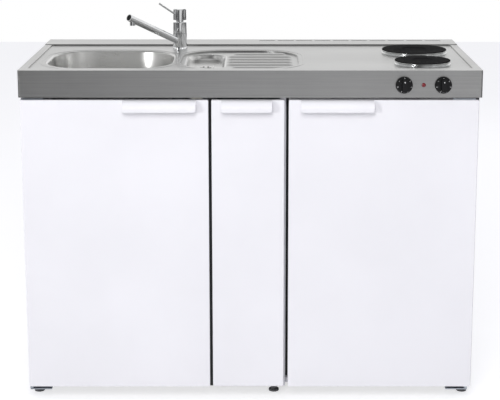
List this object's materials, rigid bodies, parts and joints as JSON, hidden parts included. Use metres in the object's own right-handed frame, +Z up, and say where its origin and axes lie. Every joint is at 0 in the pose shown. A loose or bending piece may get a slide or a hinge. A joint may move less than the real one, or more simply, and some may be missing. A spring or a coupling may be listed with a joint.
{
  "type": "kitchenette unit with sink and hob",
  "caption": "Freestanding metal kitchenette: steel worktop with sink, drainer, mixer tap and two hotplates over a hinged cupboard, a pull-out and an undercounter refrigerator.",
  "frame": {"origin": "on the floor, under the middle of the unit's overall box", "axes": "+X to the right seen from the front, +Y from the front to the wall, +Z up"},
  "size_m": [1.2, 0.624, 1.037],
  "materials": {
    "worktop_steel": "fine cross-brushed stainless steel",
    "bowl_steel": "satin pressed stainless steel",
    "waste_steel": "polished stainless steel",
    "chrome": "bright chrome plate",
    "stem_brass": "machined brass",
    "pipe_plastic": "moulded white plastic",
    "plug_rubber": "black rubber",
    "hotplate_iron": "turned cast iron, blackened",
    "spill_ring": "bright rolled steel",
    "zinc": "zinc-plated steel",
    "basket_wire": "chromed sheet and wire",
    "switch_plastic": "moulded plastic",
    "lamp_red": "clear red plastic",
    "knob_black": "fine-grained black plastic with white marks",
    "enamel": "smooth white powder coat",
    "cabinet_paint": "white powder coat",
    "back_galvanised": "galvanised sheet",
    "foot_plastic": "grey plastic",
    "casing_paint": "white lacquered sheet",
    "liner_plastic": "white vacuum-formed plastic",
    "gasket": "light grey flexible profile",
    "clear_plastic": "lightly frosted clear plastic",
    "glass": "toughened glass with a plain trim",
    "evaporator": "satin aluminium sheet",
    "black_paint": "black lacquer"
  },
  "bodies": {
    "cabinet": {"worktop": "worktop_steel", "sink_bowl": "bowl_steel", "drainer_tray": "bowl_steel", "bowl_waste": "waste_steel", "dish_waste": "waste_steel", "waste_pipe": "pipe_plastic", "bottle_trap": "pipe_plastic", "tap_body": "chrome", "tap_shank_nut": "stem_brass", "rear_hotplate": "hotplate_iron", "front_hotplate": "hotplate_iron", "spill_rings": "spill_ring", "hotplate_clamps": "zinc", "hob_switches": "switch_plastic", "pilot_lamp": "lamp_red", "terminal_box": "switch_plastic", "left_side_panel": "cabinet_paint", "right_side_panel": "cabinet_paint", "left_divider": "cabinet_paint", "right_divider": "cabinet_paint", "floor_tray": "cabinet_paint", "fridge_base": "cabinet_paint", "back_panel": "back_galvanised", "front_rail": "cabinet_paint", "rear_rail": "cabinet_paint", "levelling_feet": "foot_plastic", "left_door_pivots": "zinc", "fridge_door_pivots": "zinc", "door_magnet": "foot_plastic", "outer_runner": "zinc", "fridge_casing": "casing_paint", "fridge_liner": "liner_plastic", "glass_shelves": "glass", "freezer_box": "evaporator", "thermostat_housing": "switch_plastic", "compressor": "black_paint", "condenser": "black_paint"},
    "left_door": {"left_door": "enamel", "left_door_grip": "enamel"},
    "pullout": {"pullout_front": "enamel", "pullout_grip": "enamel", "pullout_frame": "zinc", "basket_top": "basket_wire", "basket_middle": "basket_wire", "basket_bottom": "basket_wire", "inner_runner": "zinc"},
    "runner_middle": {"middle_runner": "zinc"},
    "fridge_door": {"fridge_door": "enamel", "fridge_door_liner": "liner_plastic", "door_gasket": "gasket", "fridge_door_grip": "enamel", "door_racks": "clear_plastic"},
    "freezer_flap": {"freezer_flap": "clear_plastic"},
    "thermostat_dial": {"thermostat_dial": "switch_plastic"},
    "spout": {"spout": "chrome"},
    "mixer_stem": {"lever_stem": "stem_brass"},
    "lever_cap": {"lever_cap": "chrome"},
    "left_knob": {"left_knob": "knob_black"},
    "right_knob": {"right_knob": "knob_black"},
    "bowl_plug": {"bowl_plug": "plug_rubber"}
  },
  "joints": [
    {"name": "left_door_hinge", "type": "hinge", "parent": "cabinet", "child": "left_door", "pos_m": [-0.59, -0.276, 0.43], "axis": [0, 0, -1], "range_deg": [0, 110]},
    {"name": "pullout_slide", "type": "slide", "parent": "cabinet", "child": "pullout", "axis": [0, -1, 0], "range_m": [0, 0.4]},
    {"name": "runner_slide", "type": "slide", "parent": "cabinet", "child": "runner_middle", "axis": [0, -1, 0], "range_m": [0, 0.2]},
    {"name": "fridge_door_hinge", "type": "hinge", "parent": "cabinet", "child": "fridge_door", "pos_m": [0.58, -0.276, 0.43], "axis": [0, 0, 1], "range_deg": [0, 120]},
    {"name": "freezer_flap_hinge", "type": "hinge", "parent": "cabinet", "child": "freezer_flap", "pos_m": [0.319, -0.108, 0.655], "axis": [1, 0, 0], "range_deg": [0, 90]},
    {"name": "thermostat_turn", "type": "hinge", "parent": "cabinet", "child": "thermostat_dial", "pos_m": [0.535, -0.099, 0.728], "axis": [0, -1, 0], "range_deg": [0, 300]},
    {"name": "spout_swivel", "type": "hinge", "parent": "cabinet", "child": "spout", "pos_m": [-0.202, 0.122, 0.94], "axis": [0, 0, 1], "range_deg": [-45, 75]},
    {"name": "mixer_temperature", "type": "hinge", "parent": "cabinet", "child": "mixer_stem", "pos_m": [-0.202, 0.122, 0.995], "axis": [0, 0, 1], "range_deg": [-50, 50]},
    {"name": "mixer_flow", "type": "hinge", "parent": "mixer_stem", "child": "lever_cap", "pos_m": [-0.202, 0.122, 0.999], "axis": [-0.7254, 0.6884, 0], "range_deg": [0, 14]},
    {"name": "left_knob_turn", "type": "hinge", "parent": "cabinet", "child": "left_knob", "pos_m": [0.397, -0.294, 0.86201], "axis": [0, -1, 0], "continuous": true},
    {"name": "right_knob_turn", "type": "hinge", "parent": "cabinet", "child": "right_knob", "pos_m": [0.498, -0.294, 0.86201], "axis": [0, -1, 0], "continuous": true},
    {"name": "plug_lift", "type": "slide", "parent": "cabinet", "child": "bowl_plug", "axis": [0, 0, 1], "range_m": [0, 0.12]}
  ],
  "couplings": [
    {"joint": "runner_slide", "follows": "pullout_slide", "ratio": 0.5}
  ]
}
